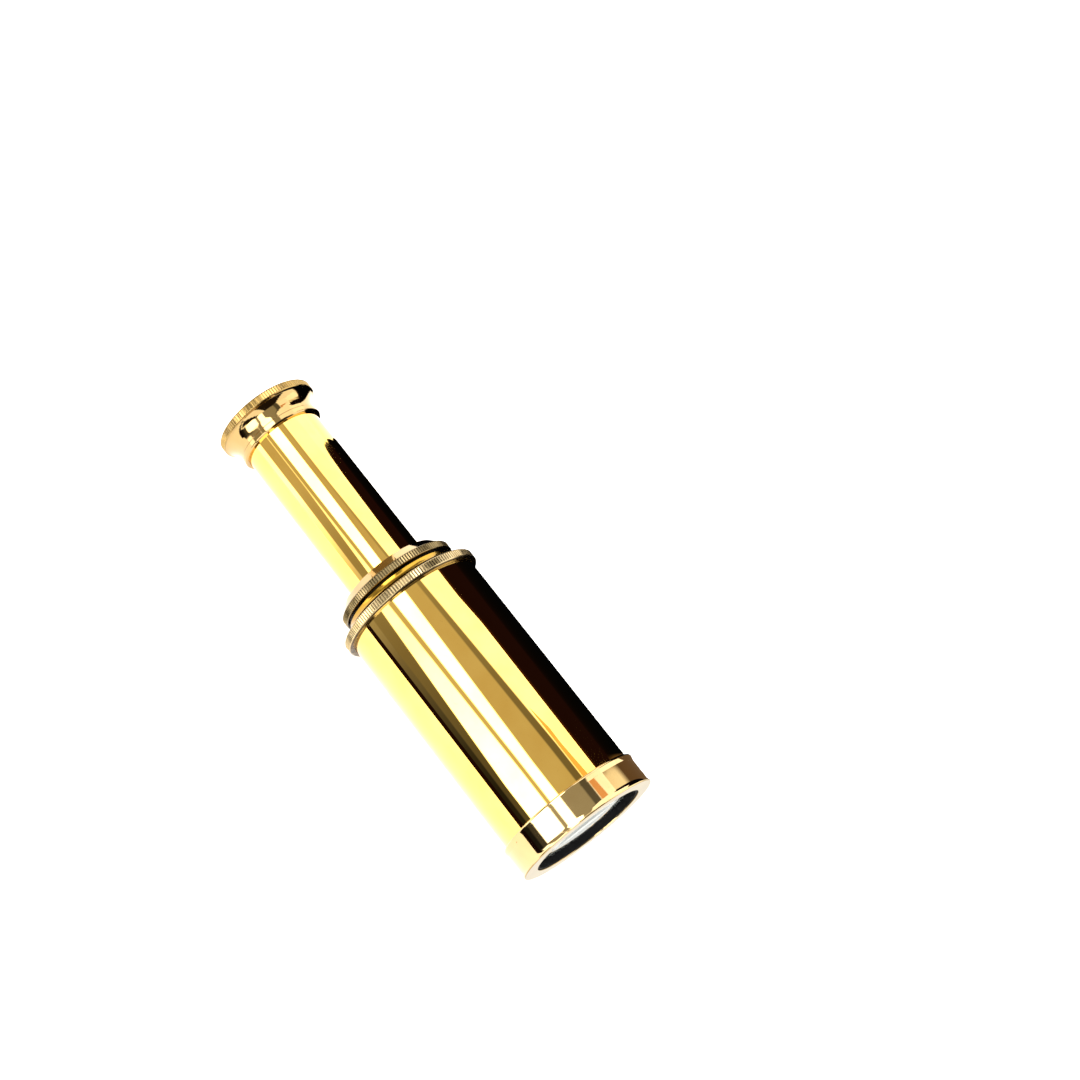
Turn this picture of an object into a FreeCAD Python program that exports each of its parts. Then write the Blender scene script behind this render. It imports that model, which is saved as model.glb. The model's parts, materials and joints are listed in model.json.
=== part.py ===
import FreeCAD, Part
import math
import os

# A small brass telescope with two draw tubes, lying on its side.
# It is drawn with the middle draw pushed in and the eyepiece draw pulled out.
# All sizes are in millimetres. Every piece is turned about the optical axis, so each one is
# drawn as an outline of (x, r) points: x runs along the axis from the front shoulder of the
# barrel's collar, positive towards the objective, and r is the distance from the axis.
# The finished pieces are then moved so that the origin is at the middle of the underside.

# ---- tubes ----
BARREL_RADIUS = 15.875
BARREL_WALL = 0.9
MIDDLE_RADIUS = 12.7
MIDDLE_WALL = 0.8
EYE_RADIUS = 9.25
EYE_WALL = 0.75

# ---- fits, as radial gaps ----
RUNNING_GAP = 0.05
SCREWED_GAP = 0.02
FACE_GAP = 0.05

# ---- lengths along the axis ----
BARREL_EXPOSED = 54.6
BEZEL_LENGTH = 7.3
BARREL_COLLAR_LENGTH = 4.7
MIDDLE_COLLAR_LENGTH = 4.45
EYE_EXPOSED = 40.3
EYECUP_LENGTH = 7.5
MIDDLE_TRAVEL = 40.0
BARREL_SOCKET_DEPTH = 1.5
BARREL_SPIGOT_LENGTH = 8.2
MIDDLE_SOCKET_DEPTH = 2.85
MIDDLE_SPIGOT_LENGTH = 10.7
EYECUP_FLOOR = 3.0
STOP_RING_LENGTH = 3.0

# ---- knurled bands: crest radius, depth, number of teeth, width ----
BARREL_KNURL = (17.15, 0.22, 160, 2.0)
MIDDLE_KNURL = (14.225, 0.2, 140, 1.9)
EYECUP_KNURL = (12.15, 0.16, 120, 1.95)
BAND_THICKNESS = 0.7
ROOT_COVER = 0.2

# ---- outer shapes of the turned brass pieces ----
BEZEL_LIP_RADIUS = 16.85
BEZEL_LIP_LENGTH = 3.0
BEZEL_WAIST_RADIUS = 16.65
BEZEL_BEAD_RADIUS = 16.8
BEZEL_BEAD_LENGTH = 1.1
BEZEL_EDGE = 0.35
COLLAR_SHOULDER_WIDTH = 0.2
COLLAR_REAR_RADIUS = 13.8
COLLAR_LIP_RADIUS = 15.7
COLLAR_LIP_WIDTH = 0.35
COLLAR_HOLLOW = 0.35
MIDDLE_CONE_RADIUS = 11.9
MIDDLE_STEP_RADIUS = 13.3
MIDDLE_STEP_WIDTH = 0.5
EYECUP_NECK_RADIUS = 10.0
EYECUP_BEAD_RADIUS = 10.15
EYECUP_FLARE_RADIUS = 11.75
EYECUP_FLARE_LENGTH = 3.3
EYECUP_BEAD_LENGTH = 1.5
EYECUP_EDGE = 0.3
EYE_HOLE_RADIUS = 4.0
EYE_DISH_RADIUS = 10.9
EYE_DISH_DEPTH = 2.0
EYE_DISH_BULGE = (1.4, 8.2)

# ---- lining grooves in the two collars ----
LINING_THICKNESS = 1.0
LINING_LENGTH = 6.0
LINING_REAR_WALL = 1.9

# ---- objective ----
OBJECTIVE_RADIUS = 13.3
OBJECTIVE_WINDOW_RADIUS = 12.85
BEZEL_PLATE = 2.2
BEZEL_BORE_RADIUS = 13.4
OBJECTIVE_FRONT_CURVE = 70.0
OBJECTIVE_INNER_CURVE = 55.0
CROWN_EDGE = 1.2
FLINT_EDGE = 2.6
CEMENT = 0.03
RETAINER_SETBACK = 0.25
LENS_SETBACK = 2.0
CELL_SHOULDER = 0.8
CELL_SHOULDER_RADIUS = 12.3
CELL_FLANGE = 0.8

# ---- eyepiece and erector lenses ----
CELL_RADIUS = 8.45
CELL_BORE = 6.8
EYEPIECE_CELL_LENGTH = 20.0
ERECTOR_CELL_LENGTH = 24.0
EYE_LENS = (6.0, 9.0, 1.3)
FIELD_LENS = (7.2, 13.0, 1.2)
ERECTOR_LENS = (7.2, 16.0, 1.2)
SEAT_WIDTH = 0.7
RING_LENGTH = 0.8
RETAINER_WALL = 0.9
STOP_THICKNESS = 0.5
FIELD_STOP_DEPTH = 9.0
FIELD_STOP_RADIUS = 4.2
ERECTOR_SETBACK = 1.0
ERECTOR_STOP_RADIUS = 1.8

# ---- stations along the axis ----
barrel_collar_rear = -BARREL_COLLAR_LENGTH
middle_collar_front = barrel_collar_rear - FACE_GAP
middle_collar_rear = middle_collar_front - MIDDLE_COLLAR_LENGTH
eyecup_front = middle_collar_rear - EYE_EXPOSED
eyecup_rear = eyecup_front - EYECUP_LENGTH
bezel_rear = BARREL_EXPOSED
front_face = bezel_rear + BEZEL_LENGTH
flange_front = front_face - BEZEL_PLATE
flange_rear = flange_front - CELL_FLANGE
lens_edge_front = front_face - LENS_SETBACK
flint_edge_rear = lens_edge_front - CROWN_EDGE - FLINT_EDGE
barrel_tube_rear = -BARREL_SOCKET_DEPTH
barrel_spigot_front = barrel_collar_rear + BARREL_SPIGOT_LENGTH
middle_tube_rear = middle_collar_front - MIDDLE_SOCKET_DEPTH
middle_spigot_front = middle_collar_rear + MIDDLE_SPIGOT_LENGTH
middle_stop_rear = barrel_spigot_front + MIDDLE_TRAVEL + FACE_GAP
middle_tube_front = middle_stop_rear + STOP_RING_LENGTH
eye_stop_rear = middle_spigot_front + FACE_GAP
eye_tube_front = eye_stop_rear + STOP_RING_LENGTH
eye_tube_rear = eyecup_rear + EYECUP_FLOOR
barrel_bore = BARREL_RADIUS - BARREL_WALL
middle_bore = MIDDLE_RADIUS - MIDDLE_WALL
eye_bore = EYE_RADIUS - EYE_WALL

# ---- placing: the origin is under the middle of the length, on the surface it lies on ----
middle_of_length = (eyecup_rear + front_face) / 2
axis_height = BARREL_KNURL[0]

# A quarter circle passes this share of its radius inside the corner it rounds.
QUARTER = 1 - math.sqrt(0.5)


def point(x, r):
    return FreeCAD.Vector(x, 0, r)


def turned(outline):
    """A solid turned about the axis. A step is a corner (x, r), or an arc ((x, r), (x, r))
    that passes through its first point and ends at its second."""
    edges = []
    here = point(*outline[0])
    for step in outline[1:] + [outline[0]]:
        is_arc = isinstance(step[0], tuple)
        there = point(*(step[1] if is_arc else step))
        if is_arc:
            edges.append(Part.Arc(here, point(*step[0]), there).toShape())
        elif here.distanceToPoint(there) > 1e-9:
            edges.append(Part.LineSegment(here, there).toShape())
        here = there
    face = Part.Face(Part.Wire(edges))
    return face.revolve(FreeCAD.Vector(0, 0, 0), FreeCAD.Vector(1, 0, 0), 360)


def ring(rear, front, inner, outer):
    return turned([(rear, inner), (front, inner), (front, outer), (rear, outer)])


def knurled_band(rear, front, knurl):
    """A ring with straight V teeth on its outside and a plain bore."""
    crest, depth, teeth, _ = knurl
    corners = []
    for i in range(2 * teeth):
        angle = math.pi * i / teeth
        radius = crest if i % 2 == 0 else crest - depth
        corners.append(FreeCAD.Vector(rear, radius * math.cos(angle), radius * math.sin(angle)))
    face = Part.Face(Part.makePolygon(corners + corners[:1]))
    band = face.extrude(FreeCAD.Vector(front - rear, 0, 0))
    bore = Part.makeCylinder(crest - BAND_THICKNESS, front - rear, FreeCAD.Vector(rear, 0, 0),
                             FreeCAD.Vector(1, 0, 0))
    return band.cut(bore)


def joined(body, band):
    """The turned body and its knurled band as one solid."""
    return body.fuse(band).removeSplitter().Solids[0]


def sag(curve, radius):
    """Depth of a spherical lens surface at a distance from the axis."""
    return curve - math.sqrt(curve * curve - radius * radius)


def plano_convex(flat, direction, lens):
    """A lens with a flat side at x = flat and its round side towards direction (+1 or -1)."""
    radius, curve, edge = lens
    rim = flat + direction * edge
    top = rim + direction * sag(curve, radius)
    shoulder = top - direction * sag(curve, radius / 2)
    return turned([(flat, 0), (flat, radius), (rim, radius), ((shoulder, radius / 2), (top, 0))])


# ---- main barrel ----

def barrel_tube():
    return ring(barrel_tube_rear, flange_rear, barrel_bore, BARREL_RADIUS)


def lined_collar_bore(rear, front, tube_radius):
    """The inner outline of a collar, front to rear, with its groove for the lining."""
    bore = tube_radius + RUNNING_GAP + SCREWED_GAP
    groove = tube_radius + RUNNING_GAP + LINING_THICKNESS
    groove_rear = rear + LINING_REAR_WALL
    groove_front = groove_rear + LINING_LENGTH
    return [(front, bore), (groove_front, bore), (groove_front, groove), (groove_rear, groove),
            (groove_rear, bore), (rear, bore)]


def lining(collar_rear, tube_radius):
    rear = collar_rear + LINING_REAR_WALL + FACE_GAP
    front = rear + LINING_LENGTH - 2 * FACE_GAP
    return ring(rear, front, tube_radius + RUNNING_GAP, tube_radius + LINING_THICKNESS)


def barrel_collar():
    crest, depth, _, width = BARREL_KNURL
    core = crest - depth - ROOT_COVER
    band_front = -COLLAR_SHOULDER_WIDTH
    band_rear = band_front - width
    lip = band_rear - COLLAR_LIP_WIDTH
    hollow_x = (barrel_collar_rear + lip) / 2 + COLLAR_HOLLOW
    hollow_r = (COLLAR_REAR_RADIUS + COLLAR_LIP_RADIUS) / 2 - COLLAR_HOLLOW
    outside = [(barrel_collar_rear, COLLAR_REAR_RADIUS), ((hollow_x, hollow_r), (lip, COLLAR_LIP_RADIUS)),
               (band_rear, COLLAR_LIP_RADIUS), (band_rear, core), (band_front, core),
               (0, core), (0, BARREL_RADIUS + SCREWED_GAP)]
    socket = [(barrel_tube_rear - FACE_GAP, BARREL_RADIUS + SCREWED_GAP),
              (barrel_tube_rear - FACE_GAP, barrel_bore - SCREWED_GAP),
              (barrel_spigot_front, barrel_bore - SCREWED_GAP)]
    bore = lined_collar_bore(barrel_collar_rear, barrel_spigot_front, MIDDLE_RADIUS)
    return joined(turned(outside + socket + bore), knurled_band(band_rear, band_front, BARREL_KNURL))


def barrel_collar_lining():
    return lining(barrel_collar_rear, MIDDLE_RADIUS)


# ---- objective ----

def objective_bezel():
    bead_top = bezel_rear + BEZEL_BEAD_LENGTH
    lip_rear = front_face - BEZEL_LIP_LENGTH
    waist = ((bead_top + lip_rear) / 2, BEZEL_WAIST_RADIUS)
    socket = BARREL_RADIUS + SCREWED_GAP
    bead = (bezel_rear + QUARTER * BEZEL_BEAD_LENGTH,
            BEZEL_BEAD_RADIUS - QUARTER * (BEZEL_BEAD_RADIUS - socket))
    edge = (front_face - QUARTER * BEZEL_EDGE, BEZEL_LIP_RADIUS - QUARTER * BEZEL_EDGE)
    outside = [(bezel_rear, socket), (bead, (bead_top, BEZEL_BEAD_RADIUS)),
               (waist, (lip_rear, BEZEL_LIP_RADIUS)), (front_face - BEZEL_EDGE, BEZEL_LIP_RADIUS),
               (edge, (front_face, BEZEL_LIP_RADIUS - BEZEL_EDGE))]
    inside = [(front_face, BEZEL_BORE_RADIUS), (flange_front, BEZEL_BORE_RADIUS), (flange_front, socket)]
    return turned(outside + inside)


def objective_cell():
    sleeve = barrel_bore - SCREWED_GAP
    rear = flint_edge_rear - CELL_SHOULDER
    seat = OBJECTIVE_RADIUS + SCREWED_GAP
    return turned([(rear, CELL_SHOULDER_RADIUS), (flint_edge_rear, CELL_SHOULDER_RADIUS),
                   (flint_edge_rear, seat), (flange_front, seat), (flange_front, BARREL_RADIUS),
                   (flange_rear, BARREL_RADIUS), (flange_rear, sleeve), (rear, sleeve)])


def objective_crown_lens():
    front_top = lens_edge_front + sag(OBJECTIVE_FRONT_CURVE, OBJECTIVE_RADIUS)
    front_half = front_top - sag(OBJECTIVE_FRONT_CURVE, OBJECTIVE_RADIUS / 2)
    rim = lens_edge_front - CROWN_EDGE
    rear_top = rim - sag(OBJECTIVE_INNER_CURVE, OBJECTIVE_RADIUS)
    rear_half = rear_top + sag(OBJECTIVE_INNER_CURVE, OBJECTIVE_RADIUS / 2)
    return turned([(rear_top, 0), ((rear_half, OBJECTIVE_RADIUS / 2), (rim, OBJECTIVE_RADIUS)),
                   (lens_edge_front, OBJECTIVE_RADIUS),
                   ((front_half, OBJECTIVE_RADIUS / 2), (front_top, 0))])


def objective_flint_lens():
    rim = lens_edge_front - CROWN_EDGE - CEMENT
    top = rim - sag(OBJECTIVE_INNER_CURVE, OBJECTIVE_RADIUS)
    half = top + sag(OBJECTIVE_INNER_CURVE, OBJECTIVE_RADIUS / 2)
    rear = flint_edge_rear + CEMENT
    return turned([(top, 0), ((half, OBJECTIVE_RADIUS / 2), (rim, OBJECTIVE_RADIUS)),
                   (rear, OBJECTIVE_RADIUS), (rear, 0)])


def objective_retaining_ring():
    swell = sag(OBJECTIVE_FRONT_CURVE, OBJECTIVE_RADIUS)
    rear = lens_edge_front + swell - sag(OBJECTIVE_FRONT_CURVE, OBJECTIVE_WINDOW_RADIUS) + SCREWED_GAP
    return ring(rear, front_face - RETAINER_SETBACK, OBJECTIVE_WINDOW_RADIUS,
                BEZEL_BORE_RADIUS - SCREWED_GAP)


# ---- middle draw ----

def middle_tube():
    return ring(middle_tube_rear, middle_tube_front, middle_bore, MIDDLE_RADIUS)


def middle_collar():
    crest, depth, _, width = MIDDLE_KNURL
    core = crest - depth - ROOT_COVER
    band_front = middle_collar_front - MIDDLE_STEP_WIDTH
    band_rear = band_front - width
    outside = [(middle_collar_rear, MIDDLE_CONE_RADIUS), (band_rear, core), (band_front, core),
               (band_front, MIDDLE_STEP_RADIUS), (middle_collar_front, MIDDLE_STEP_RADIUS),
               (middle_collar_front, MIDDLE_RADIUS + SCREWED_GAP)]
    socket = [(middle_tube_rear - FACE_GAP, MIDDLE_RADIUS + SCREWED_GAP),
              (middle_tube_rear - FACE_GAP, middle_bore - SCREWED_GAP),
              (middle_spigot_front, middle_bore - SCREWED_GAP)]
    bore = lined_collar_bore(middle_collar_rear, middle_spigot_front, EYE_RADIUS)
    return joined(turned(outside + socket + bore), knurled_band(band_rear, band_front, MIDDLE_KNURL))


def middle_collar_lining():
    return lining(middle_collar_rear, EYE_RADIUS)


def middle_stop_ring():
    return ring(middle_stop_rear, middle_tube_front, MIDDLE_RADIUS + SCREWED_GAP,
                barrel_bore - RUNNING_GAP)


# ---- eyepiece draw ----

def eyepiece_tube():
    return ring(eye_tube_rear, eye_tube_front, eye_bore, EYE_RADIUS)


def eyepiece_stop_ring():
    return ring(eye_stop_rear, eye_tube_front, EYE_RADIUS + SCREWED_GAP, middle_bore - RUNNING_GAP)


def eyecup():
    crest, depth, _, width = EYECUP_KNURL
    core = crest - depth - ROOT_COVER
    band_front = eyecup_rear + width
    neck = band_front + EYECUP_FLARE_LENGTH
    rise = EYECUP_FLARE_RADIUS - EYECUP_NECK_RADIUS
    flare_curve = (EYECUP_FLARE_LENGTH ** 2 + rise ** 2) / (2 * rise)
    halfway = (neck + band_front) / 2
    flare = (halfway, EYECUP_NECK_RADIUS + sag(flare_curve, neck - halfway))
    bead_rear = eyecup_front - EYECUP_BEAD_LENGTH
    outside = [(eyecup_rear, core), (band_front, core), (band_front, EYECUP_FLARE_RADIUS),
               (flare, (neck, EYECUP_NECK_RADIUS)), (bead_rear, EYECUP_BEAD_RADIUS),
               (eyecup_front - EYECUP_EDGE, EYECUP_BEAD_RADIUS),
               (eyecup_front, EYECUP_BEAD_RADIUS - EYECUP_EDGE)]
    floor = eye_tube_rear - FACE_GAP
    socket = [(eyecup_front, EYE_RADIUS + SCREWED_GAP), (floor, EYE_RADIUS + SCREWED_GAP)]
    dish_middle = (eyecup_rear + EYE_DISH_BULGE[0], EYE_DISH_BULGE[1])
    hole = [(floor, EYE_HOLE_RADIUS), (eyecup_rear + EYE_DISH_DEPTH, EYE_HOLE_RADIUS),
            (dish_middle, (eyecup_rear, EYE_DISH_RADIUS))]
    return joined(turned(outside + socket + hole), knurled_band(eyecup_rear, band_front, EYECUP_KNURL))


def lens_cell(rear, length, rear_lens, front_lens):
    """A sleeve with a counterbored seat for one lens at each end. Each lens sits with its round
    side against the seat, so the edge of the seat's bore touches the round side."""
    front = rear + length
    rear_seat, rear_window = seat_of(rear, 1, rear_lens)
    front_seat, front_window = seat_of(front, -1, front_lens)
    return turned([(rear, rear_lens[0] + SCREWED_GAP), (rear_seat, rear_lens[0] + SCREWED_GAP),
                   (rear_seat, rear_window), (rear_seat + SEAT_WIDTH, rear_window),
                   (rear_seat + SEAT_WIDTH, CELL_BORE), (front_seat - SEAT_WIDTH, CELL_BORE),
                   (front_seat - SEAT_WIDTH, front_window), (front_seat, front_window),
                   (front_seat, front_lens[0] + SCREWED_GAP), (front, front_lens[0] + SCREWED_GAP),
                   (front, CELL_RADIUS), (rear, CELL_RADIUS)])


def seat_of(end, inward, lens):
    """Where a lens's seat lies behind its retaining ring, and the radius of the seat's bore."""
    radius, curve, edge = lens
    window = radius - SEAT_WIDTH
    reach = RING_LENGTH + SCREWED_GAP + edge + sag(curve, radius) - sag(curve, window) + SCREWED_GAP
    return end + inward * reach, window


def seated_lens(end, inward, lens):
    return plano_convex(end + inward * (RING_LENGTH + SCREWED_GAP), inward, lens)


def lens_ring(end, inward, lens):
    """The ring screwed in behind a lens, flush with the end of the cell."""
    ends = sorted((end, end + inward * RING_LENGTH))
    return ring(ends[0], ends[1], lens[0] - RETAINER_WALL, lens[0])


def stop_disc(middle, opening):
    return ring(middle - STOP_THICKNESS / 2, middle + STOP_THICKNESS / 2, opening,
                CELL_BORE - SCREWED_GAP)


eyepiece_cell_rear = eye_tube_rear
eyepiece_cell_front = eyepiece_cell_rear + EYEPIECE_CELL_LENGTH
erector_cell_front = eye_tube_front - ERECTOR_SETBACK
erector_cell_rear = erector_cell_front - ERECTOR_CELL_LENGTH

PIECES = {
    "barrel_tube": barrel_tube(),
    "barrel_collar": barrel_collar(),
    "barrel_collar_lining": barrel_collar_lining(),
    "objective_bezel": objective_bezel(),
    "objective_cell": objective_cell(),
    "objective_crown_lens": objective_crown_lens(),
    "objective_flint_lens": objective_flint_lens(),
    "objective_retaining_ring": objective_retaining_ring(),
    "middle_tube": middle_tube(),
    "middle_collar": middle_collar(),
    "middle_collar_lining": middle_collar_lining(),
    "middle_stop_ring": middle_stop_ring(),
    "eyepiece_tube": eyepiece_tube(),
    "eyepiece_stop_ring": eyepiece_stop_ring(),
    "eyecup": eyecup(),
    "eyepiece_cell": lens_cell(eyepiece_cell_rear, EYEPIECE_CELL_LENGTH, EYE_LENS, FIELD_LENS),
    "eye_lens": seated_lens(eyepiece_cell_rear, 1, EYE_LENS),
    "eye_lens_ring": lens_ring(eyepiece_cell_rear, 1, EYE_LENS),
    "field_lens": seated_lens(eyepiece_cell_front, -1, FIELD_LENS),
    "field_lens_ring": lens_ring(eyepiece_cell_front, -1, FIELD_LENS),
    "field_stop": stop_disc(eyepiece_cell_rear + FIELD_STOP_DEPTH, FIELD_STOP_RADIUS),
    "erector_cell": lens_cell(erector_cell_rear, ERECTOR_CELL_LENGTH, ERECTOR_LENS, ERECTOR_LENS),
    "erector_rear_lens": seated_lens(erector_cell_rear, 1, ERECTOR_LENS),
    "erector_rear_ring": lens_ring(erector_cell_rear, 1, ERECTOR_LENS),
    "erector_front_lens": seated_lens(erector_cell_front, -1, ERECTOR_LENS),
    "erector_front_ring": lens_ring(erector_cell_front, -1, ERECTOR_LENS),
    "erector_stop": stop_disc((erector_cell_rear + erector_cell_front) / 2, ERECTOR_STOP_RADIUS),
}

os.makedirs("parts", exist_ok=True)
for name, shape in PIECES.items():
    shape.translate(FreeCAD.Vector(-middle_of_length, 0, axis_height))
    shape.exportStep("parts/" + name + ".step")
    print(name, "valid" if shape.isValid() else "NOT VALID", len(shape.Solids), "solid")
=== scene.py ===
import json
import math
import bmesh
import bpy
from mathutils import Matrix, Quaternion, Vector

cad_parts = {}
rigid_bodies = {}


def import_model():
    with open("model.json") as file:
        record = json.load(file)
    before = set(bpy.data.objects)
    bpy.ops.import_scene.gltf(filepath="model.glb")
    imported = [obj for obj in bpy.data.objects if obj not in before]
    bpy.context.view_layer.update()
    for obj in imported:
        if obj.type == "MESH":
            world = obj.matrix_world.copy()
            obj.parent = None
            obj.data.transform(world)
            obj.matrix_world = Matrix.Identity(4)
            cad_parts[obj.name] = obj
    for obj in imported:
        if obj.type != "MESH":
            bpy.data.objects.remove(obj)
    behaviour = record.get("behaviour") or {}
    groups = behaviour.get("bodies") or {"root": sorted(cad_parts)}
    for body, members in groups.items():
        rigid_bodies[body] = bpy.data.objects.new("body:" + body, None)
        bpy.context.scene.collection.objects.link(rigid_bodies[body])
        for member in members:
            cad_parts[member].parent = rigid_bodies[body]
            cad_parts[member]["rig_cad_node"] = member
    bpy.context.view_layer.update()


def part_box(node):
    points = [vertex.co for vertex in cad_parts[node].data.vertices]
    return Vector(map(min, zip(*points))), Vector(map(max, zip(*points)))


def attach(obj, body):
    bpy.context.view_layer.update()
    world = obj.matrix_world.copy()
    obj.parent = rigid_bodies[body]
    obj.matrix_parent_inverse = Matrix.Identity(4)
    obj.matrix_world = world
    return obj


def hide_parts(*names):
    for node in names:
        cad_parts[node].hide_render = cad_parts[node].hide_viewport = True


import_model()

# Shapes are written in millimetres as outlines of (x, r): x along the optical axis, r from it.
MM = 0.001
AXIS_HEIGHT = (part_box("barrel_tube")[0].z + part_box("barrel_tube")[1].z) / 2 / MM
SPOKES = 288  # steps round a plain piece
TOOTH_STEPS = 4  # steps round one tooth of a knurl
ARC_STEPS = 14
ROUNDING_STEPS = 4
ROUNDING_SHARE = 0.45  # of a run, at most, so that the roundings at its two ends don't meet
HOLD = 0.05  # distance from a corner to the extra point that keeps a long run flat
SHARP_ANGLE = math.radians(34)
TINY = 1e-6


# ---- outlines ----

def span(node):
    """Rear end, front end and outer radius of a CAD node, in millimetres."""
    low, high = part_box(node)
    return low.x / MM, high.x / MM, (high.z - low.z) / 2 / MM


def arc(start, through, end):
    """Points of the circle arc from start, passing through a middle point, to end."""
    (ax, ar), (bx, br), (cx, cr) = start, through, end
    d = 2 * (ax * (br - cr) + bx * (cr - ar) + cx * (ar - br))
    a2, b2, c2 = ax * ax + ar * ar, bx * bx + br * br, cx * cx + cr * cr
    ux = (a2 * (br - cr) + b2 * (cr - ar) + c2 * (ar - br)) / d
    ur = (a2 * (cx - bx) + b2 * (ax - cx) + c2 * (bx - ax)) / d
    radius = math.hypot(ax - ux, ar - ur)
    first = math.atan2(ar - ur, ax - ux)
    turn_mid = (math.atan2(br - ur, bx - ux) - first) % (2 * math.pi)
    turn = (math.atan2(cr - ur, cx - ux) - first) % (2 * math.pi)
    if turn_mid > turn:
        turn -= 2 * math.pi
    steps = [first + turn * i / ARC_STEPS for i in range(ARC_STEPS + 1)]
    return [(ux + radius * math.cos(t), ur + radius * math.sin(t)) for t in steps]


def eased(points, size):
    """The closed outline with every corner sharper than SHARP_ANGLE rounded over the given size."""
    result = []
    count = len(points)
    for i, corner in enumerate(points):
        before, here, after = Vector(points[i - 1]), Vector(corner), Vector(points[(i + 1) % count])
        back, ahead = before - here, after - here
        if min(back.length, ahead.length) < TINY:
            continue
        if back.angle(-ahead) < SHARP_ANGLE:
            result.append(tuple(here))
            continue
        start = here + back.normalized() * min(size, back.length * ROUNDING_SHARE)
        end = here + ahead.normalized() * min(size, ahead.length * ROUNDING_SHARE)
        for step in range(ROUNDING_STEPS + 1):
            t = step / ROUNDING_STEPS
            result.append(tuple(start * (1 - t) ** 2 + here * 2 * t * (1 - t) + end * t * t))
    return result


def held(points):
    """The closed outline with points added near both ends of long runs, so that they shade as flat."""
    result = []
    for i, point in enumerate(points):
        here, after = Vector(point), Vector(points[(i + 1) % len(points)])
        run = (after - here).length
        result.append(tuple(here))
        if run > 4 * HOLD:
            result.append(tuple(here.lerp(after, HOLD / run)))
            result.append(tuple(here.lerp(after, 1 - HOLD / run)))
    return result


# Waves round the axis, each with its count, size and phase.
WEAR_WAVES = [(3, 1.0, 0.7), (7, 0.6, 2.1), (19, 0.35, 4.0), (43, 0.25, 1.3)]
WEAR_SPREAD = 3.2
KNOCK_WAVES = [(61, 1.0, 0.0), (97, 0.8, 1.1), (173, 0.6, 0.4)]


def sum_of(waves, angle, shift=0):
    return sum(size * math.sin(count * angle + phase + shift) for count, size, phase in waves)


def blunted(angle, shift):
    """How worn a knurl is at an angle round the axis, from 0 to 1."""
    return min(1.0, max(0.0, 0.5 + sum_of(WEAR_WAVES, angle, shift) / WEAR_SPREAD))


def scuffed(angle, middle, width):
    """Knocks in one stretch of a knurl, from 0 to 1."""
    away = abs(angle - middle) / width
    if away > 1:
        return 0.0
    return max(0.0, sum_of(KNOCK_WAVES, angle) / 2) * (1 - away * away)


# ---- meshes ----

def lathe(name, outline, body, node, materials, paint=None, knurl=None):
    """Turns a closed outline into a piece that stands for a CAD node.

    paint(x, r) gives the number of a face's material. knurl is a Knurl that cuts teeth into the
    points that lie at its crest.
    """
    outline = held(outline)
    spokes = knurl.teeth * TOOTH_STEPS if knurl else SPOKES
    bm = bmesh.new()
    rings = []
    for x, r in outline:
        if r < TINY:
            rings.append([bm.verts.new((x * MM, 0, AXIS_HEIGHT * MM))])
            continue
        ring = []
        for k in range(spokes):
            angle = 2 * math.pi * k / spokes
            radius = (r - knurl.cut(x, r, angle) if knurl else r) * MM
            y, z = radius * math.cos(angle), AXIS_HEIGHT * MM + radius * math.sin(angle)
            ring.append(bm.verts.new((x * MM, y, z)))
        rings.append(ring)
    for i, ring in enumerate(rings):
        following = rings[(i + 1) % len(rings)]
        if len(ring) == 1 and len(following) == 1:
            continue
        (x0, r0), (x1, r1) = outline[i], outline[(i + 1) % len(rings)]
        index = paint((x0 + x1) / 2, (r0 + r1) / 2) if paint else 0
        for k in range(spokes):
            corners = []
            for vert in (ring[k % len(ring)], ring[(k + 1) % len(ring)],
                         following[(k + 1) % len(following)], following[k % len(following)]):
                if vert not in corners:
                    corners.append(vert)
            face = bm.faces.new(corners)
            face.smooth = True
            face.material_index = index
    bmesh.ops.recalc_face_normals(bm, faces=bm.faces)
    mesh = bpy.data.meshes.new(name)
    bm.to_mesh(mesh)
    bm.free()
    for material in materials:
        mesh.materials.append(material)
    mesh.set_sharp_from_angle(angle=SHARP_ANGLE)
    piece = bpy.data.objects.new(name, mesh)
    bpy.context.scene.collection.objects.link(piece)
    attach(piece, body)
    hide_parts(node)


class Knurl:
    """A band of straight teeth. scuff = (angle, width) is a knocked stretch of it, in radians."""

    CHAMFER = 0.22
    END_MARGIN = 0.1  # from an end of the band to the first point that has teeth
    CREST_MARGIN = 0.01  # a point this much below the crest has no teeth
    ROOT_MARGIN = 0.02  # a face this much below the root is not part of the band
    WORN_LEVEL = 0.7  # of the depth, where a tooth is worn away
    SCUFF_DEPTH = 0.34
    SCUFF_WAVE = 9  # radians per millimetre along the axis

    def __init__(self, rear, front, crest, depth, teeth, wear, scuff=None):
        self.rear, self.front, self.crest, self.depth = rear, front, crest, depth
        self.teeth, self.wear, self.scuff = teeth, wear, scuff

    def holds(self, x, r):
        return self.rear <= x <= self.front and r > self.crest - self.depth - self.ROOT_MARGIN

    def cut(self, x, r, angle):
        """How deep the surface lies below the crest at a point of the outline."""
        if r < self.crest - self.CREST_MARGIN:
            return 0.0
        if not self.rear + self.END_MARGIN < x < self.front - self.END_MARGIN:
            return 0.0
        worn = blunted(angle, self.teeth) * self.wear
        tooth = (1 - math.cos(angle * self.teeth)) / 2
        depth = self.depth * (worn * self.WORN_LEVEL + tooth * (1 - worn))
        if self.scuff:
            share = (1 + math.sin(x * self.SCUFF_WAVE)) / 2
            depth += self.SCUFF_DEPTH * scuffed(angle, *self.scuff) * share
        return depth

    def outline(self):
        """The crest of the band, from its rear root to its front root."""
        root = self.crest - self.depth
        return [(self.rear, root), (self.rear + self.CHAMFER, self.crest),
                (self.front - self.CHAMFER, self.crest), (self.front, root)]


# ---- materials ----

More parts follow.
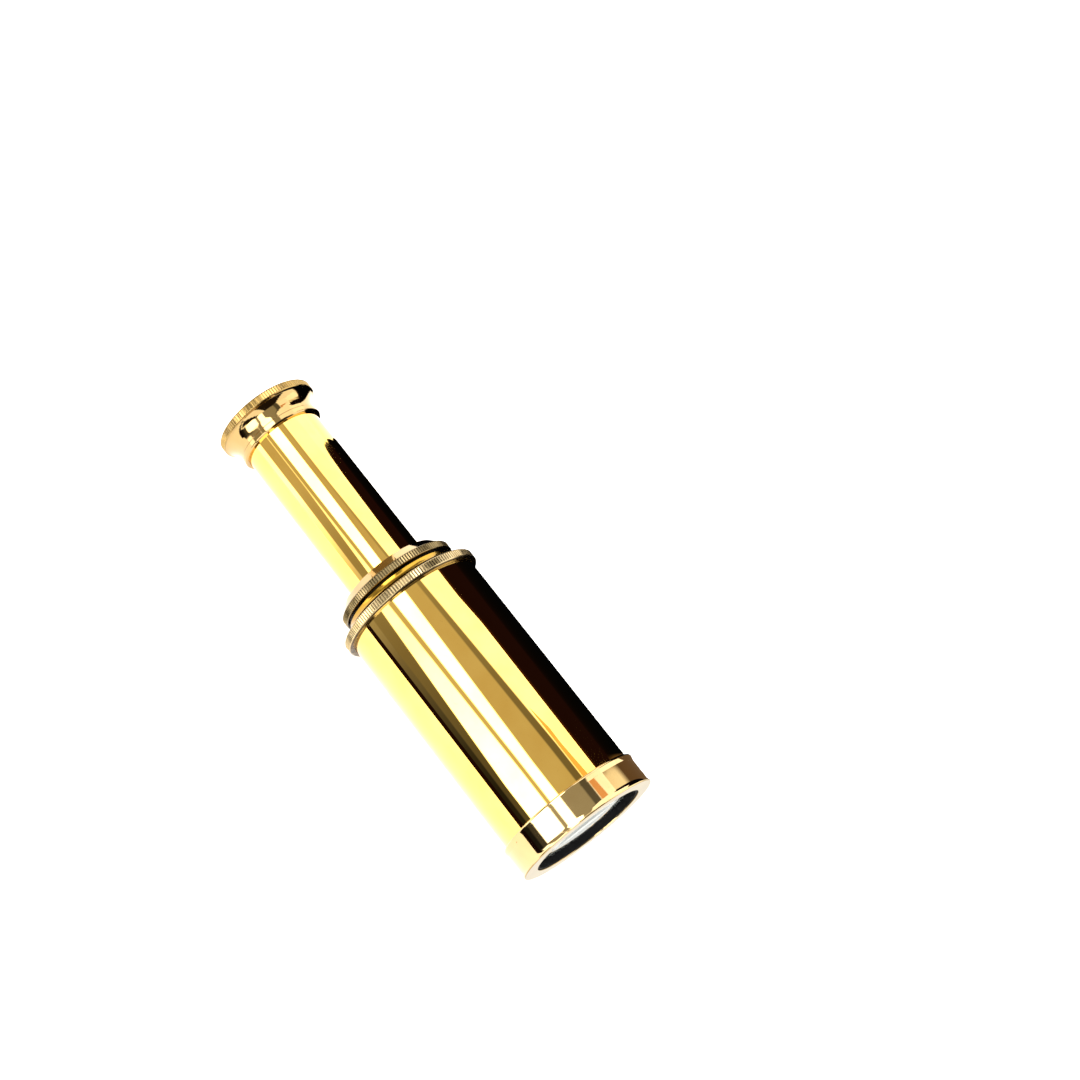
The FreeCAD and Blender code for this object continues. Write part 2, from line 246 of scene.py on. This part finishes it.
class Nodes:
    """A short way to write a material's node tree."""

    def __init__(self, name):
        self.material = bpy.data.materials.new(name)
        self.material.use_nodes = True
        self.tree = self.material.node_tree
        self.shader = self.tree.nodes["Principled BSDF"]
        self.coordinates = self.tree.nodes.new("ShaderNodeTexCoord").outputs["Object"]

    def add(self, kind, **settings):
        node = self.tree.nodes.new("ShaderNode" + kind)
        for key, value in settings.items():
            setattr(node, key, value)
        return node

    def join(self, source, target):
        self.tree.links.new(source, target)

    def stretched(self, scale):
        mapping = self.add("Mapping")
        mapping.inputs["Scale"].default_value = scale
        self.join(self.coordinates, mapping.inputs["Vector"])
        return mapping.outputs["Vector"]

    def noise(self, scale, detail=3.0, rough=0.55, stretch=(1, 1, 1)):
        noise = self.add("TexNoise")
        noise.inputs["Scale"].default_value = scale
        noise.inputs["Detail"].default_value = detail
        noise.inputs["Roughness"].default_value = rough
        self.join(self.stretched(stretch), noise.inputs["Vector"])
        return noise.outputs["Fac"]

    def remap(self, source, low, high, new_low, new_high):
        node = self.add("MapRange")
        for socket, value in (("From Min", low), ("From Max", high),
                              ("To Min", new_low), ("To Max", new_high)):
            node.inputs[socket].default_value = value
        self.join(source, node.inputs["Value"])
        return node.outputs["Result"]

    def math(self, operation, first, second):
        node = self.add("Math", operation=operation)
        for socket, value in zip(node.inputs, (first, second)):
            if isinstance(value, (int, float)):
                socket.default_value = value
            else:
                self.join(value, socket)
        return node.outputs["Value"]

    def mix(self, factor, first, second):
        node = self.add("Mix", data_type="RGBA")
        self.join(factor, node.inputs["Factor"])
        for socket, value in (("A", first), ("B", second)):
            target = [s for s in node.inputs if s.name == socket and s.type == "RGBA"][0]
            if isinstance(value, tuple):
                target.default_value = (*value, 1)
            else:
                self.join(value, target)
        return [s for s in node.outputs if s.type == "RGBA"][0]

    def radius(self):
        """Distance from the optical axis, in metres."""
        parts = self.add("SeparateXYZ")
        self.join(self.coordinates, parts.inputs["Vector"])
        across = self.math("POWER", parts.outputs["Y"], 2.0)
        up = self.math("POWER", self.math("SUBTRACT", parts.outputs["Z"], AXIS_HEIGHT * MM), 2.0)
        return self.math("SQRT", self.math("ADD", across, up), 0.0)

    def bump(self, height, strength, distance):
        node = self.add("Bump")
        node.inputs["Strength"].default_value = strength
        node.inputs["Distance"].default_value = distance
        self.join(height, node.inputs["Height"])
        self.join(node.outputs["Normal"], self.shader.inputs["Normal"])

    def set(self, **values):
        for name, value in values.items():
            self.shader.inputs[name.replace("_", " ")].default_value = value


def polished_brass(name, bright, dull, rough, lines):
    """Mirror-polished brass with faint clouding, hairlines and a little tarnish."""
    n = Nodes(name)
    clouds = n.remap(n.noise(90, 4), 0.35, 0.7, 0.0, 1.0)
    specks = n.remap(n.noise(1500, 2), 0.68, 0.80, 0.0, 0.2)
    stain = (dull[0] * 0.6, dull[1] * 0.55, dull[2] * 0.5)
    n.join(n.mix(specks, n.mix(clouds, bright, dull), stain), n.shader.inputs["Base Color"])
    n.join(n.remap(n.noise(160, 5), 0.3, 0.75, rough, rough * 2.2), n.shader.inputs["Roughness"])
    n.bump(n.noise(1, 3, 0.6, lines), 0.02, 0.000001)
    n.set(Metallic=1.0)
    return n.material


def worn_and_shaded_brass(name, node, depth, light, dark, grime_and_shade):
    """Brass that darkens over a depth below a node's outside, to the given share of its colour at the
    deepest. In the roots of a knurl the darkening is grime; over a collar's front shoulder and bore it is
    painted shade.
    """
    n = Nodes(name)
    crest = span(node)[2]
    high = n.remap(n.radius(), (crest - depth) * MM, crest * MM, 0.0, 1.0)
    clean_and_lit = n.math("MULTIPLY", high, n.remap(n.noise(420, 4), 0.2, 0.6, 0.55, 1.0))
    colour = n.mix(n.remap(n.noise(240, 4), 0.35, 0.7, 0.0, 1.0), light, dark)
    n.join(n.mix(clean_and_lit, tuple(part * grime_and_shade for part in dark), colour), n.shader.inputs["Base Color"])
    n.join(n.remap(n.noise(500, 3), 0.3, 0.7, 0.16, 0.34), n.shader.inputs["Roughness"])
    n.bump(n.noise(2600, 3), 0.15, 0.00004)
    n.set(Metallic=1.0)
    return n.material


def plain_brass(name):
    n = Nodes(name)
    colour = n.mix(n.noise(300, 4), (0.80, 0.52, 0.17), (0.52, 0.33, 0.11))
    n.join(colour, n.shader.inputs["Base Color"])
    n.join(n.remap(n.noise(600, 3), 0.3, 0.7, 0.25, 0.42), n.shader.inputs["Roughness"])
    n.bump(n.noise(1, 3, 0.6, (5000, 60, 60)), 0.1, 0.00003)
    n.set(Metallic=1.0)
    return n.material


def blackened(name, low, high, rough):
    n = Nodes(name)
    n.join(n.mix(n.noise(700, 4), low, high), n.shader.inputs["Base Color"])
    n.join(n.remap(n.noise(900, 3), 0.3, 0.7, rough, rough * 1.5), n.shader.inputs["Roughness"])
    n.bump(n.noise(2400, 3), 0.2, 0.00004)
    n.set(Metallic=0.0, Specular_IOR_Level=0.04)
    return n.material


def felt(name):
    n = Nodes(name)
    colour = n.mix(n.noise(1800, 5), (0.025, 0.014, 0.010), (0.085, 0.05, 0.035))
    n.join(colour, n.shader.inputs["Base Color"])
    n.bump(n.noise(3000, 5), 0.8, 0.0002)
    n.set(Roughness=0.95, Sheen_Weight=0.3)
    return n.material


def glass(name):
    n = Nodes(name)
    colour = n.mix(n.noise(120, 2), (0.96, 0.985, 0.975), (0.93, 0.97, 0.955))
    n.join(colour, n.shader.inputs["Base Color"])
    n.join(n.remap(n.noise(60, 2), 0.4, 0.8, 0.0, 0.004), n.shader.inputs["Roughness"])
    n.set(IOR=1.52, Transmission_Weight=1.0)
    return n.material


# Hairlines along the axis, as drawing leaves them, and round it, as turning does.
ALONG = (60, 5200, 5200)
ROUND = (5200, 60, 60)
# Depths of the teeth, and of the painted shade over the front shoulder and bore of a collar.
BARREL_TEETH = 0.22
MIDDLE_TEETH = 0.2
EYE_TEETH = 0.16
SHADE_DEPTH = 4.0

drawn_brass = polished_brass("drawn_brass", (0.94, 0.60, 0.155), (0.88, 0.53, 0.12), 0.015, ALONG)
bezel_brass = polished_brass("bezel_brass", (0.54, 0.39, 0.185), (0.48, 0.33, 0.145), 0.03, ROUND)
# Darker than the other polished brass: the dimmer reflections in the gap between the knurled rings are
# painted into this colour as shade.
shaded_collar_brass = polished_brass("shaded_collar_brass", (0.42, 0.24, 0.03), (0.33, 0.18, 0.02), 0.10, ROUND)
eye_brass = polished_brass("eyecup_brass", (0.45, 0.31, 0.13), (0.39, 0.26, 0.10), 0.04, ROUND)
inner_brass = plain_brass("inner_brass")
barrel_knurl_brass = worn_and_shaded_brass("barrel_knurl_brass", "barrel_collar", BARREL_TEETH,
                                (0.80, 0.62, 0.34), (0.60, 0.44, 0.21), 0.2)
middle_knurl_brass = worn_and_shaded_brass("middle_knurl_brass", "middle_collar", MIDDLE_TEETH,
                                (0.34, 0.25, 0.12), (0.22, 0.16, 0.07), 0.3)
eye_knurl_brass = worn_and_shaded_brass("eye_knurl_brass", "eyecup", EYE_TEETH,
                             (0.46, 0.30, 0.10), (0.38, 0.245, 0.08), 0.6)
# Painted shade: near-black brass over a collar's front shoulder and bore stands for the shadow where the
# collar meets the tube, and for the shade inside it.
painted_shade_brass = worn_and_shaded_brass("painted_shade_brass", "barrel_collar", SHADE_DEPTH,
                        (0.10, 0.06, 0.02), (0.03, 0.018, 0.008), 0.16)
black_paint = blackened("black_paint", (0.003, 0.003, 0.003), (0.009, 0.008, 0.007), 0.55)
black_ring = blackened("black_ring", (0.003, 0.003, 0.003), (0.008, 0.008, 0.008), 0.45)
lining_felt = felt("lining_felt")
lens_glass = glass("lens_glass")


# ---- main barrel ----

TUBE_WALL = 0.9
MIDDLE_WALL = 0.8
EYE_WALL = 0.75
THREAD_GAP = 0.02
# Sizes of the rounded corners, and how far below its outside a tube is painted black.
TUBE_CORNER = 0.15
BEZEL_CORNER = 0.12
RING_CORNER = 0.1
COLLAR_CORNER = 0.08
PAINT_START = 0.3


def tube_shell(name, node, wall, body):
    """A drawn tube, blackened inside."""
    rear, front, radius = span(node)
    shape = [(rear, radius - wall), (front, radius - wall), (front, radius), (rear, radius)]
    lathe(name, eased(shape, TUBE_CORNER), body, node, [drawn_brass, black_paint],
          paint=lambda x, r: 1 if r < radius - PAINT_START else 0)


tube_shell("barrel_tube_shell", "barrel_tube", TUBE_WALL, "main_barrel")
tube_shell("middle_tube_shell", "middle_tube", MIDDLE_WALL, "middle_draw")
tube_shell("eyepiece_tube_shell", "eyepiece_tube", EYE_WALL, "eyepiece_draw")
barrel_rear, _, barrel_radius = span("barrel_tube")
middle_tube_rear, _, middle_radius = span("middle_tube")
eye_radius = span("eyepiece_tube")[2]

bezel_rear, bezel_front, bezel_radius = span("objective_bezel")
bezel_socket = barrel_radius + THREAD_GAP
BEZEL_BORE = 13.4
BEZEL_WAIST = 0.24
BEZEL_PLATE = 2.2
BEZEL_EDGE = 0.3
EDGE_MIDDLE = BEZEL_EDGE * 0.29  # how far the middle of a quarter circle lies inside its corner
bead = (bezel_rear + 0.55, bezel_radius - 0.03)
waist_radius = bezel_radius - BEZEL_WAIST
lip = (bezel_front - BEZEL_EDGE, bezel_radius)
plate = bezel_front - BEZEL_PLATE
shape = [(bezel_rear, bezel_socket)]
shape += arc((bezel_rear, bezel_socket + 0.25), (bezel_rear + 0.14, bezel_radius - 0.17), bead)[:-1]
shape += arc(bead, (bezel_rear + 1.0, bezel_radius - 0.12), (bezel_rear + 1.5, waist_radius))
shape += arc((bezel_front - 1.2, waist_radius), (bezel_front - 0.7, waist_radius + 0.08), lip)
shape += arc(lip, (bezel_front - EDGE_MIDDLE, bezel_radius - EDGE_MIDDLE),
             (bezel_front, bezel_radius - BEZEL_EDGE))[1:]
shape += [(bezel_front, BEZEL_BORE), (plate, BEZEL_BORE), (plate, bezel_socket)]
lathe("objective_bezel_shell", eased(shape, BEZEL_CORNER), "main_barrel",
      "objective_bezel", [bezel_brass])

ring_rear, ring_front, ring_radius = span("objective_retaining_ring")
RING_WINDOW = 12.85
shape = [(ring_rear, RING_WINDOW), (ring_front, RING_WINDOW), (ring_front, ring_radius),
         (ring_rear, ring_radius)]
lathe("retaining_ring", eased(shape, RING_CORNER), "main_barrel",
      "objective_retaining_ring", [black_ring])

lens_rear, lens_top, lens_radius = span("objective_crown_lens")
FRONT_CURVE = 70.0
INNER_CURVE = 55.0
LENS_STEPS = 24
shares = [i / LENS_STEPS for i in range(LENS_STEPS + 1)]


def dome(curve, radius):
    """How far a sphere has fallen away from its top at a radius from the axis."""
    return curve - math.sqrt(curve * curve - radius * radius)


shape = [(lens_rear + dome(INNER_CURVE, lens_radius * t), lens_radius * t) for t in shares]
shape += [(lens_top - dome(FRONT_CURVE, lens_radius * t), lens_radius * t) for t in reversed(shares)]
lathe("crown_lens", shape, "main_barrel", "objective_crown_lens", [lens_glass])


# ---- collars ----

BORE_GAP = 0.07
GROOVE_DEPTH = 1.05
GROOVE_START = 1.9
GROOVE_LENGTH = 6.0
SOCKET_GAP = 0.05
SHADE_REACH = 0.6  # how far beyond the sliding tube the inside of a collar carries painted shade


def collar_inside(rear, front, tube, wall, socket_bottom, bore_tube):
    """The inner outline of a collar from its front shoulder round to its rear end."""
    bore = bore_tube + BORE_GAP
    groove = bore_tube + GROOVE_DEPTH
    groove_rear = rear + GROOVE_START
    groove_front = groove_rear + GROOVE_LENGTH
    return [(socket_bottom, tube + THREAD_GAP), (socket_bottom, tube - wall - THREAD_GAP),
            (front, tube - wall - THREAD_GAP), (front, bore), (groove_front, bore), (groove_front, groove),
            (groove_rear, groove), (groove_rear, bore), (rear, bore)]


def collar_paint(knurl, inner):
    """Teeth, then the painted shade in front of them and on the bore, then polished brass."""
    def paint(x, r):
        if knurl.holds(x, r):
            return 1
        return 2 if x > knurl.front - knurl.ROOT_MARGIN or r < inner else 0
    return paint


rear, front, crest = span("barrel_collar")
shoulder = rear + 4.7
KNOCKED = (math.radians(186), 0.42)
knurl = Knurl(shoulder - 2.2, shoulder - 0.2, crest, BARREL_TEETH, 160, 0.5, scuff=KNOCKED)
LIP_RADIUS = 15.7
lip_x = knurl.rear - 0.35
shape = arc((rear, 13.8), ((rear + lip_x) / 2 + 0.35, 14.4), (lip_x, LIP_RADIUS))
shape += [(knurl.rear, LIP_RADIUS)] + knurl.outline()
shape += [(shoulder, crest - 0.42), (shoulder, barrel_radius + THREAD_GAP)]
shape += collar_inside(rear, front, barrel_radius, TUBE_WALL, barrel_rear - SOCKET_GAP, middle_radius)
lathe("barrel_collar_ring", eased(shape, COLLAR_CORNER), "main_barrel", "barrel_collar",
      [shaded_collar_brass, barrel_knurl_brass, painted_shade_brass],
      collar_paint(knurl, middle_radius + SHADE_REACH), knurl)

rear, front, crest = span("middle_collar")
shoulder = rear + 4.45
knurl = Knurl(shoulder - 2.4, shoulder - 0.5, crest, MIDDLE_TEETH, 140, 0.3)
STEP_RADIUS = 13.3
shape = [(rear, 11.9), (knurl.rear, crest - 0.4)] + knurl.outline()
shape += [(knurl.front, STEP_RADIUS), (shoulder, STEP_RADIUS), (shoulder, middle_radius + THREAD_GAP)]
shape += collar_inside(rear, front, middle_radius, MIDDLE_WALL, middle_tube_rear - SOCKET_GAP, eye_radius)
lathe("middle_collar_ring", eased(shape, COLLAR_CORNER), "middle_draw", "middle_collar",
      [eye_brass, middle_knurl_brass, painted_shade_brass],
      collar_paint(knurl, eye_radius + SHADE_REACH), knurl)


# ---- eyecup ----

rear, front, crest = span("eyecup")
knurl = Knurl(rear, rear + 1.95, crest, EYE_TEETH, 120, 0.5)
FLARE_RADIUS = 11.75
NECK_RADIUS = 10.0
BEAD_RADIUS = 10.15
BEAD_EDGE = 0.3
EYE_HOLE = 4.0
neck = knurl.front + 3.3
bead_rear = front - 1.5
floor_x = rear + 2.95
dish = (rear + 2.0, EYE_HOLE)
shape = knurl.outline() + [(knurl.front, FLARE_RADIUS)]
shape += arc((knurl.front, FLARE_RADIUS), ((knurl.front + neck) / 2, NECK_RADIUS + 0.38),
             (neck, NECK_RADIUS))
shape += [(bead_rear, NECK_RADIUS), (bead_rear + 0.12, BEAD_RADIUS), (front - BEAD_EDGE, BEAD_RADIUS),
          (front, BEAD_RADIUS - BEAD_EDGE), (front, eye_radius + THREAD_GAP),
          (floor_x, eye_radius + THREAD_GAP), (floor_x, EYE_HOLE), dish]
shape += arc(dish, (rear + 1.4, 8.2), (rear, 10.9))
lathe("eyecup_turning", eased(shape, COLLAR_CORNER), "eyepiece_draw", "eyecup",
      [eye_brass, eye_knurl_brass], lambda x, r: 1 if knurl.holds(x, r) else 0, knurl)


# ---- the inner pieces keep their CAD shapes ----

SLOT_MATERIALS = {
    "plain_brass": inner_brass, "blackened_brass": black_paint, "lining_felt": lining_felt,
    "lens_glass": lens_glass,
}
for item in bpy.context.scene.objects:
    if "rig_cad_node" not in item or item.hide_render:
        continue
    name = item["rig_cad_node"]
    if "lining" in name:
        slot = "lining_felt"
    elif name.endswith("_lens"):
        slot = "lens_glass"
    elif name.endswith("stop_ring"):
        slot = "plain_brass"
    else:
        slot = "blackened_brass"
    item.data.materials.clear()
    item.data.materials.append(SLOT_MATERIALS[slot])


# ---- stage: floor, soft light and the cards that the brass mirrors ----

def glow(name):
    """A light-giving material that takes its colour and strength from the mesh's own colours."""
    material = bpy.data.materials.new(name)
    material.use_nodes = True
    tree = material.node_tree
    tree.nodes.clear()
    colours = tree.nodes.new("ShaderNodeAttribute")
    colours.attribute_name = "glow"
    shader = tree.nodes.new("ShaderNodeEmission")
    output = tree.nodes.new("ShaderNodeOutputMaterial")
    tree.links.new(colours.outputs["Color"], shader.inputs["Color"])
    tree.links.new(shader.outputs["Emission"], output.inputs["Surface"])
    return material


CARD_GLOW = glow("card_glow")


def card(name, grid, colours):
    """A stage card from a grid of points in millimetres, each with its own light.

    Only gloss and glass see it.
    """
    columns = len(grid[0])
    points = [(x * MM, y * MM, z * MM) for row in grid for x, y, z in row]
    faces = []
    for i in range(len(grid) - 1):
        for j in range(columns - 1):
            a = i * columns + j
            faces.append((a, a + 1, a + columns + 1, a + columns))
    mesh = bpy.data.meshes.new(name)
    mesh.from_pydata(points, [], faces)
    layer = mesh.color_attributes.new("glow", "FLOAT_COLOR", "POINT")
    for item, colour in zip(layer.data, [colour for row in colours for colour in row]):
        item.color = (*colour, 1)
    mesh.materials.append(CARD_GLOW)
    item = bpy.data.objects.new(name, mesh)
    bpy.context.scene.collection.objects.link(item)
    item.visible_camera = False
    item.visible_diffuse = False
    item.visible_shadow = False


HOOP_RADIUS = 700
HOOP_REACH = 1500
FRONT_WALL = 420
# Between these two places the strips run askew; beyond them they run straight on.
REAR_END = -290
FRONT_END = -80
STATION_STEP = 30
STATIONS = [-HOOP_REACH, *range(REAR_END, FRONT_END + 1, STATION_STEP), FRONT_WALL]


def on_hoop(x, turn, radius=HOOP_RADIUS):
    """A point on a big cylinder round the telescope; turn is degrees from overhead towards -y."""
    t = math.radians(turn)
    return x, -radius * math.sin(t), AXIS_HEIGHT + radius * math.cos(t)


def share_along(x):
    """0 at the rear end of the strips, 1 at their front end."""
    return min(1.0, max(0.0, (x - REAR_END) / (FRONT_END - REAR_END)))


WARM = (1.0, 0.96, 0.80)
PLAIN = (1.0, 1.0, 1.0)
# Straight strips laid side by side over the telescope, a little askew. Each has its tint, its first edge
# in degrees at its rear and front ends, and its light there.
STRIPS = [
    (PLAIN, (-54, -57), (2.7, 2.7)),
    (WARM, (-13, -30), (0.6, 0.2)),
    (WARM, (-8, -18), (0.65, 0.65)),
    (PLAIN, (5, 16), (7, 7)),
    (WARM, (35, 31), (0.65, 0.75)),
    (PLAIN, (46, 38), (2, 7)),
    (WARM, (47, 72), (0.65, 0.1)),
    (PLAIN, (76, 82), (4, 0.02)),
]
FLOOR_EDGE = 91.4  # degrees from overhead to where the hoop meets the floor
SOFT_EDGE = 1.2

rows, lights = [], []
edges = [strip[1] for strip in STRIPS] + [(FLOOR_EDGE + SOFT_EDGE,) * 2]
for x in STATIONS:
    share = share_along(x)
    turns = [rear + (front - rear) * share for rear, front in edges]
    row, light = [], []
    for (tint, _, (rear, front)), start, end in zip(STRIPS, turns, turns[1:]):
        level = rear * (front / rear) ** share
        soft = min(SOFT_EDGE, (end - start) / 3)
        for turn in (start + soft, end - soft):
            row.append(on_hoop(x, turn))
            light.append(tuple(level * part for part in tint))
    rows.append(row)
    lights.append(light)
card("sky_strips", rows, lights)

# The wooden box beside the telescope is left out; dark cards mirror in the brass in its place.
EMBER = (0.085, 0.030, 0.010)
SMOKE = (0.013, 0.0045, 0.006)
NIGHT = (0.0015, 0.0018, 0.003)
WOOD = (0.22, 0.14, 0.08)
CREAM = (2.0, 1.9, 1.6)
AMBER = (1.6, 0.85, 0.40)
CARD_LIFT = 0.4
DARK_END = -306
LOW_TURN = -80
EMBER_WIDTH = 5
# The standing card: its rounded rear end, then the x and the top edge of each station along it.
ROUNDED_END = [(-298, -65), (-304, -70), (DARK_END, LOW_TURN), (DARK_END, -FLOOR_EDGE)]
DARK_STATIONS = [(-284, -61), (-240, -56), (-182, -54), (-160, -58), (-54, -57)]
CREAM_STATIONS = [(-50, -57), (60, -57)]
grid = [[on_hoop(x, turn) for x, turn in ROUNDED_END]]
grid += [[on_hoop(x, turn) for turn in (top, top - EMBER_WIDTH, LOW_TURN, -FLOOR_EDGE)]
         for x, top in DARK_STATIONS + CREAM_STATIONS]
card("dark_card", grid, [[EMBER, SMOKE, SMOKE, SMOKE]] * (1 + len(DARK_STATIONS))
     + [[CREAM, CREAM, CREAM, WOOD]] * len(CREAM_STATIONS))

# The card on the floor: painted shade of the floor beside the telescope, dark and then wooden towards the
# objective, from near the telescope outwards.
FLOOR_CARD_FRONT = 59.4
FLOOR_ROWS = [(9, (-50, 50, 51.5)), (45, (-60, 45, 46.5)), (HOOP_RADIUS, (DARK_END, -58, -54))]
card("floor_shade_card", [[(x, y, CARD_LIFT) for x in (*across, FLOOR_CARD_FRONT)] for y, across in FLOOR_ROWS],
     [[NIGHT, NIGHT, WOOD, WOOD], [NIGHT, NIGHT, WOOD, WOOD], [SMOKE, SMOKE, WOOD, WOOD]])

AMBER_RADIUS = HOOP_RADIUS - 5
AMBER_STATIONS = [(-104, (-31, -32)), (-76, (-31, -47)), (40, (-31, -54))]
card("amber_card", [[on_hoop(x, turn, AMBER_RADIUS) for turn in turns] for x, turns in AMBER_STATIONS],
     [[AMBER] * 2] * len(AMBER_STATIONS))

HORIZON_Y = -176
HORIZON_TOP = 24
card("horizon_card", [[(x, HORIZON_Y, z) for x in (-50, 400)] for z in (CARD_LIFT, HORIZON_TOP)],
     [[SMOKE] * 2] * 2)

# Walls across both ends: a dim room behind the eyecup, and a dark one with windows before the objective.
ROOM = (0.46, 0.42, 0.30)
SOFTBOX = (2.4, 2.4, 2.4)
DUSK = (0.03, 0.02, 0.014)
REAR_WALL = -900
WALL_FOOT = 1
WALL_TOP = 720
ROOM_EDGES = (-700, -300, 300, 700)
card("rear_wall", [[(REAR_WALL, y, z) for y in ROOM_EDGES] for z in (WALL_FOOT, 330, 430, WALL_TOP)],
     [[ROOM] * 4] * 2 + [[SOFTBOX] * 4] * 2)
WINDOW_EDGES = (-700, -560, -550, -300, -290, -90, -80, 330, 340, 700)
windows = [SOFTBOX] * 2 + [DUSK] * 2 + [SOFTBOX] * 2 + [DUSK] * 2 + [SOFTBOX] * 2
card("front_wall", [[(FRONT_WALL, y, z) for y in WINDOW_EDGES] for z in (WALL_FOOT, 50, 70, WALL_TOP)],
     [[SOFTBOX] * len(WINDOW_EDGES)] * 2 + [windows] * 2)

# A pale sheet on the floor just in front of the objective, for the lens.
SHEET = (1.25, 1.25, 1.18)
card("front_sheet", [[(x, y, CARD_LIFT) for y in (-60, 60)] for x in (59.6, 120)], [[SHEET] * 2] * 2)

# The floor is in metres and lies just under the telescope.
FLOOR_REACH = 4.0
FLOOR_DROP = 0.00003
CORNERS = [(-1, -1), (1, -1), (1, 1), (-1, 1)]
floor_mesh = bpy.data.meshes.new("floor")
floor_mesh.from_pydata([(x * FLOOR_REACH, y * FLOOR_REACH, -FLOOR_DROP) for x, y in CORNERS], [],
                       [(0, 1, 2, 3)])
floor = bpy.data.objects.new("floor", floor_mesh)
bpy.context.scene.collection.objects.link(floor)
paper = Nodes("floor_paper")
pale = paper.mix(paper.noise(30, 3), (0.84, 0.84, 0.83), (0.86, 0.86, 0.85))
paper.join(pale, paper.shader.inputs["Base Color"])
paper.set(Roughness=0.9, Specular_IOR_Level=0.1)
floor_mesh.materials.append(paper.material)

WORLD_LIGHT = 3.0
world = bpy.data.worlds.new("studio")
world.use_nodes = True
background = world.node_tree.nodes["Background"]
background.inputs["Color"].default_value = (1, 1, 1, 1)
background.inputs["Strength"].default_value = WORLD_LIGHT
bpy.context.scene.world = world
bpy.context.scene.view_settings.view_transform = "Standard"


# ---- camera ----

CAMERA_AIM = (1, 32, AXIS_HEIGHT)
CAMERA_DISTANCE = 454
CAMERA_AZIMUTH = math.radians(-48)
CAMERA_ELEVATION = math.radians(67.35)
CAMERA_ROLL = math.radians(11.3)
CAMERA_LENS = 68.0
CAMERA_SENSOR = 36.0

camera_data = bpy.data.cameras.new("camera")
camera_data.sensor_width = CAMERA_SENSOR
camera_data.lens = CAMERA_LENS
camera_data.clip_start = 0.01
camera_data.clip_end = 20.0
camera = bpy.data.objects.new("camera", camera_data)
towards = Vector((math.cos(CAMERA_ELEVATION) * math.cos(CAMERA_AZIMUTH),
                  math.cos(CAMERA_ELEVATION) * math.sin(CAMERA_AZIMUTH), math.sin(CAMERA_ELEVATION)))
camera.location = (Vector(CAMERA_AIM) + towards * CAMERA_DISTANCE) * MM
camera.rotation_mode = "QUATERNION"
camera.rotation_quaternion = towards.to_track_quat("Z", "Y") @ Quaternion((0, 0, 1), CAMERA_ROLL)
bpy.context.scene.collection.objects.link(camera)
bpy.context.scene.camera = camera
